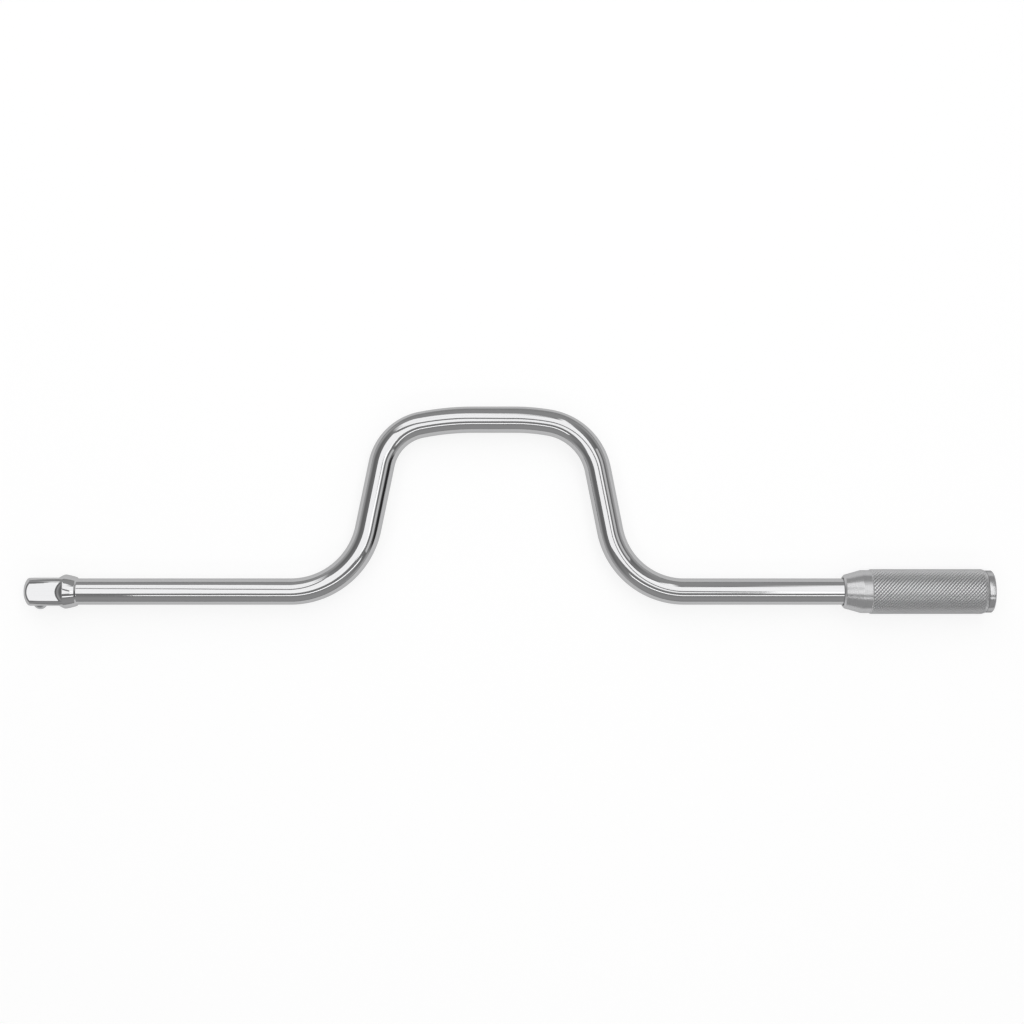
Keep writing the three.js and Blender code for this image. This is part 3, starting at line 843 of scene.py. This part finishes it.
class SPEEDBRACE_OT_grip_barrel(bpy.types.Operator):
    """Turn the grip's barrel and knurl it"""

    bl_idname = "speed_brace.grip_barrel"
    bl_label = "Grip Barrel"

    def execute(self, context):
        scene = context.scene
        grip, finish = scene.brace_grip, scene.brace_finish
        nose, end = sleeve_low.x, sleeve_high.x
        crest, rear = sleeve_high.z, cap_high.z
        band = crest - grip.knurl_depth
        hole = scene.brace_crank.rod_diameter / 2 + grip.nose_play
        rim = hole + grip.nose_rim
        cone_start = nose + grip.nose_chamfer_length
        band_start = cone_start + grip.cone_length
        knurl_start = band_start + grip.band_length
        bore = bush_high.z + grip.press_gap
        wall_end = bush_low.x - grip.seat_gap
        outline = eased([
            (knurl_start, band), (band_start, band), (cone_start, rim + grip.nose_chamfer), (nose, rim),
            (nose, hole + grip.nose_mouth), (nose + grip.nose_mouth, hole), (wall_end, hole),
            (wall_end, bore), (end, bore), (end, rear)], grip.edge)
        mesh = turned_mesh("knurled_barrel", outline, grip.knurl_starts * KNURL_STEPS)
        piece = new_piece("knurled_barrel", mesh, satin_chrome(finish))
        knurled_barrel(piece, {
            "Start": knurl_start, "Length": end - knurl_start, "Root radius": band, "Depth": grip.knurl_depth,
            "Flat": grip.knurl_flat, "Lift": grip.knurl_lift, "Rear radius": rear,
            "Rear slope": (crest - rear) / grip.chamfer_length, "Starts": grip.knurl_starts,
            "Rows": grip.knurl_rows, "Steps": KNURL_STEPS, "Finish": knurled_chrome(finish)})
        settle(piece)
        shade(piece, BARREL_CRISP)
        seat(piece, "grip", "grip_sleeve")
        return {"FINISHED"}


class SPEEDBRACE_OT_end_cap(bpy.types.Operator):
    """Turn the cap that closes the barrel"""

    bl_idname = "speed_brace.end_cap"
    bl_label = "End Cap"

    def execute(self, context):
        grip = context.scene.brace_grip
        spigot, radius = bush_high.z, cap_high.z
        start, end = cap_low.x, cap_high.x
        flange = sleeve_high.x + grip.seat_gap
        outline = eased([
            (start, 0), (start, spigot - grip.cap_edge), (start + grip.cap_edge, spigot), (flange, spigot),
            (flange, radius), (end - grip.cap_edge, radius), (end, radius - grip.cap_edge), (end, 0)],
            grip.edge)
        mesh = turned_mesh("cap", outline, CAP_SIDES)
        piece = new_piece("cap", mesh, polished_ring(context.scene.brace_finish))
        shade(piece, CAP_CRISP)
        seat(piece, "grip", "end_cap")
        return {"FINISHED"}


class SPEEDBRACE_OT_bearings(bpy.types.Operator):
    """Finish the plain pieces inside the grip"""

    bl_idname = "speed_brace.bearings"
    bl_label = "Bearings"

    def execute(self, context):
        finish = context.scene.brace_finish
        bronze, steel = sintered_bronze(finish), spring_steel(finish)
        finishes = {"front_bush": bronze, "rear_bush": bronze, "thrust_pad": bronze,
                    "thrust_washer": steel, "retaining_ring": steel}
        for node, material in finishes.items():
            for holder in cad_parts[node].material_slots:
                holder.material = material
        return {"FINISHED"}


def bare_nodes(holder):
    """Clears the nodes of a material or a world, and gives what adds new ones."""
    holder.use_nodes = True
    holder.node_tree.nodes.clear()
    return partial(add_node, holder.node_tree)


def white_paper(studio):
    """Matt white paper on a pale table. The camera sees white all over, with a soft shadow left on it.

    What the camera sees is part white, part lit paper and a fill that brings these to white off the shadow.
    """
    seen_white, seen_fill, mirrored_white, soft_edge = 0.7, 0.085, 0.6, 0.02
    material = bpy.data.materials.new("Matt white paper")
    add = bare_nodes(material)
    place = add("ShaderNodeTexCoord")
    split = add("ShaderNodeSeparateXYZ", {0: place.outputs["Object"]})
    across = add("ShaderNodeMath", {0: split.outputs["Y"], 1: studio.paper_middle}, operation="SUBTRACT")
    aside = add("ShaderNodeMath", {0: across}, operation="ABSOLUTE")
    paper = add("ShaderNodeMapRange", {
        "Value": aside, "From Min": studio.paper_width / 2, "From Max": studio.paper_width / 2 + soft_edge,
        "To Min": 1.0, "To Max": 0.0})
    path = add("ShaderNodeLightPath")
    by_camera = path.outputs["Is Camera Ray"]
    even = add("ShaderNodeMath", {0: paper, 1: by_camera}, operation="MAXIMUM")
    tone = add("ShaderNodeMix", {
        "Factor": even, "A": studio.table_colour, "B": studio.paper_colour}, data_type="RGBA")
    matt = add("ShaderNodeBsdfDiffuse", {"Color": tone.outputs["Result"]})
    white = add("ShaderNodeEmission", {"Color": WHITE, "Strength": 1})
    seen = add("ShaderNodeMath", {0: by_camera, 1: seen_white}, operation="MULTIPLY")
    mirrored = add("ShaderNodeMath", {
        0: path.outputs["Is Glossy Ray"], 1: path.outputs["Is Transmission Ray"]}, operation="MAXIMUM")
    bright = add("ShaderNodeMath", {0: paper, 1: mirrored_white}, operation="MULTIPLY")
    lit = add("ShaderNodeMath", {0: mirrored, 1: bright, 2: seen}, operation="MULTIPLY_ADD")
    mixed = add("ShaderNodeMixShader", {0: lit, 1: matt, 2: white})
    lift = add("ShaderNodeMath", {0: by_camera, 1: seen_fill}, operation="MULTIPLY")
    fill = add("ShaderNodeEmission", {"Color": WHITE, "Strength": lift})
    filled = add("ShaderNodeAddShader", {0: mixed, 1: fill})
    add("ShaderNodeOutputMaterial", {"Surface": filled})
    return material


def level(height, *places):
    """Corners that lie at one height."""
    return [(*place, height) for place in places]


# Where the studio's lights hang, and which way the doorway lies
OVERHEAD = 1.1
NEAR_PANEL = level(OVERHEAD, (-0.42, -0.315), (0.59, -0.196), (-0.42, 0.67))
FAR_PANEL = level(OVERHEAD, (0.76, -0.21), (0.76, 0.8), (0.54, 0.94), (-0.62, 0.94), (0.2, 0.34))
HIGH_PANEL = level(2 * OVERHEAD, (0.66, -0.6), (1.2, -0.6), (1.2, 1.5), (0.66, 1.5))
SIDE_PANEL = [(-0.65, 0.95, 0.5), (-0.1, 0.95, 0.5), (0.2, 0.95, 0.66), (0.5, 0.95, 0.95),
              (0.5, 0.95, OVERHEAD), (-0.65, 0.95, OVERHEAD)]
GRIP_PANEL = [(0.5, 0.95, 0.62), (0.62, 0.95, 0.62), (0.87, 0.95, 1.28), (0.5, 0.95, 1.28)]
END_STRIP = [(1, -0.5, 0.5), (1, 0.5, 0.5), (1, 0.5, 0.98), (1, -0.5, 0.98)]
NEAR_LAMP = (0.4, -0.64, 0.98)
DOORWAY = Vector((0.95, -0.19, 0.12))


def grey_room(studio):
    """A grey room. Its ends, in line with the tool, are lighter low down, and one has a dark doorway."""
    world = bpy.data.worlds.new("Grey room")
    add = bare_nodes(world)
    way = add("ShaderNodeTexCoord").outputs["Generated"]
    split = add("ShaderNodeSeparateXYZ", {0: way})
    inline = add("ShaderNodeMath", {0: split.outputs["X"]}, operation="ABSOLUTE")
    towards = add("ShaderNodeVectorMath", {0: way, 1: DOORWAY.normalized()}, operation="DOT_PRODUCT")
    # Each change of grey: what it follows, where it starts and ends, and what it goes from and to
    side_height, end_height, endwise, shaded = (
        add("ShaderNodeMapRange", {
            "Value": follows, "From Min": start, "From Max": end, "To Min": first, "To Max": last},
            interpolation_type="SMOOTHSTEP")
        for follows, start, end, first, last in (
            (split.outputs["Z"], 0.5, 0.9, 0, 1),
            (split.outputs["Z"], 0.0, 0.5, 0, 1),
            (inline, 0.4, 0.75, 0, 1),
            (towards.outputs["Value"], 0.93, 0.985, 1, 1 - studio.doorway)))
    sides = add("ShaderNodeMix", {
        "Factor": side_height, "A": studio.horizon, "B": studio.zenith}, data_type="RGBA")
    ends = add("ShaderNodeMix", {
        "Factor": end_height, "A": studio.ends_low, "B": studio.ends_high}, data_type="RGBA")
    grey = add("ShaderNodeMix", {
        "Factor": endwise, "A": sides.outputs["Result"], "B": ends.outputs["Result"]}, data_type="RGBA")
    back = add("ShaderNodeBackground", {"Color": grey.outputs["Result"], "Strength": shaded})
    add("ShaderNodeOutputWorld", {"Surface": back})
    return world


def soft_panel(name, corners, strength, fade=0):
    """A lit white diffuser between these corners, which only the metal and the floor see.

    It fades to clear over this length at both ends.
    """
    material = bpy.data.materials.new("Lit white diffuser")
    add = bare_nodes(material)
    surface = add("ShaderNodeEmission", {"Color": WHITE, "Strength": strength})
    if fade:
        place = add("ShaderNodeTexCoord")
        split = add("ShaderNodeSeparateXYZ", {0: place.outputs["Object"]})
        left, right = min(corners)[0], max(corners)[0]
        ends = [add("ShaderNodeMapRange", {
            "Value": split.outputs["X"], "From Min": end, "From Max": inside})
            for end, inside in ((left, left + fade), (right, right - fade))]
        lit = add("ShaderNodeMath", {0: ends[0], 1: ends[1]}, operation="MINIMUM")
        clear = add("ShaderNodeBsdfTransparent")
        surface = add("ShaderNodeMixShader", {0: lit, 1: clear, 2: surface})
    add("ShaderNodeOutputMaterial", {"Surface": surface})
    mesh = bpy.data.meshes.new(name)
    mesh.from_pydata(corners, [], [range(len(corners))])
    panel = new_piece(name, mesh, material)
    panel.visible_camera = False
    panel.visible_shadow = False


def near_lamp(width, depth, strength):
    """A narrow soft lamp on the near side, turned towards the tool."""
    lamp = bpy.data.lights.new("near_lamp", "AREA")
    lamp.shape = "RECTANGLE"
    lamp.size = width
    lamp.size_y = depth
    lamp.energy = strength * width * depth * math.pi
    light = bpy.data.objects.new("near_lamp", lamp)
    light.location = NEAR_LAMP
    light.rotation_euler.x = math.atan2(-NEAR_LAMP[1], NEAR_LAMP[2])
    light.visible_camera = False
    bpy.context.scene.collection.objects.link(light)


class SPEEDBRACE_OT_studio(bpy.types.Operator):
    """Lay the floor, hang the soft lights and set the camera over the tool"""

    bl_idname = "speed_brace.studio"
    bl_label = "Studio"

    def execute(self, context):
        scene = context.scene
        studio = scene.brace_studio
        half, low = studio.floor_size / 2, cad_box[0].z
        paper = bpy.data.meshes.new("paper_floor")
        corners = level(low, (-half, -half), (half, -half), (half, half), (-half, half))
        paper.from_pydata(corners, [], [range(len(corners))])
        new_piece("paper_floor", paper, white_paper(studio))
        soft_panel("near_panel", NEAR_PANEL, studio.panel_light)
        soft_panel("far_panel", FAR_PANEL, studio.panel_light, fade=0.16)
        soft_panel("high_panel", HIGH_PANEL, studio.high_light)
        soft_panel("side_panel", SIDE_PANEL, studio.side_light, fade=0.3)
        soft_panel("grip_panel", GRIP_PANEL, studio.side_light, fade=0.1)
        soft_panel("end_strip", END_STRIP, studio.end_light)
        near_lamp(width=1.2, depth=0.12, strength=studio.near_light)
        scene.world = grey_room(studio)
        view = bpy.data.cameras.new("Camera over the tool")
        view.lens = studio.camera_lens
        camera = bpy.data.objects.new("Camera over the tool", view)
        camera.location = studio.camera_place
        scene.collection.objects.link(camera)
        scene.camera = camera
        scene.view_settings.view_transform = "Standard"
        return {"FINISHED"}


STEPS = (SPEEDBRACE_OT_crank_shaft, SPEEDBRACE_OT_detent, SPEEDBRACE_OT_grip_barrel, SPEEDBRACE_OT_end_cap,
         SPEEDBRACE_OT_bearings, SPEEDBRACE_OT_studio)


class SPEEDBRACE_PT_panel(bpy.types.Panel):
    """The brace's pieces and its studio, in the order in which they are made"""

    bl_label = "Speed Brace"
    bl_space_type = "VIEW_3D"
    bl_region_type = "UI"
    bl_category = "Speed Brace"

    def draw(self, context):
        for step in STEPS:
            self.layout.operator(step.bl_idname)


SETTINGS = {
    "brace_crank": CrankSizes,
    "brace_drive_side": DriveSideBends,
    "brace_grip_side": GripSideBends,
    "brace_drive": DriveSizes,
    "brace_grip": GripSizes,
    "brace_finish": FinishColours,
    "brace_studio": StudioSettings,
}


def register():
    for kind in (*SETTINGS.values(), *STEPS, SPEEDBRACE_PT_panel):
        bpy.utils.register_class(kind)
    for name, kind in SETTINGS.items():
        setattr(bpy.types.Scene, name, PointerProperty(type=kind))


def unregister():
    for name in SETTINGS:
        delattr(bpy.types.Scene, name)
    for kind in (SPEEDBRACE_PT_panel, *reversed(STEPS), *SETTINGS.values()):
        bpy.utils.unregister_class(kind)


def main():
    register()
    bpy.ops.speed_brace.crank_shaft()
    bpy.ops.speed_brace.detent()
    bpy.ops.speed_brace.grip_barrel()
    bpy.ops.speed_brace.end_cap()
    bpy.ops.speed_brace.bearings()
    bpy.ops.speed_brace.studio()


if __name__ == "__main__":
    main()
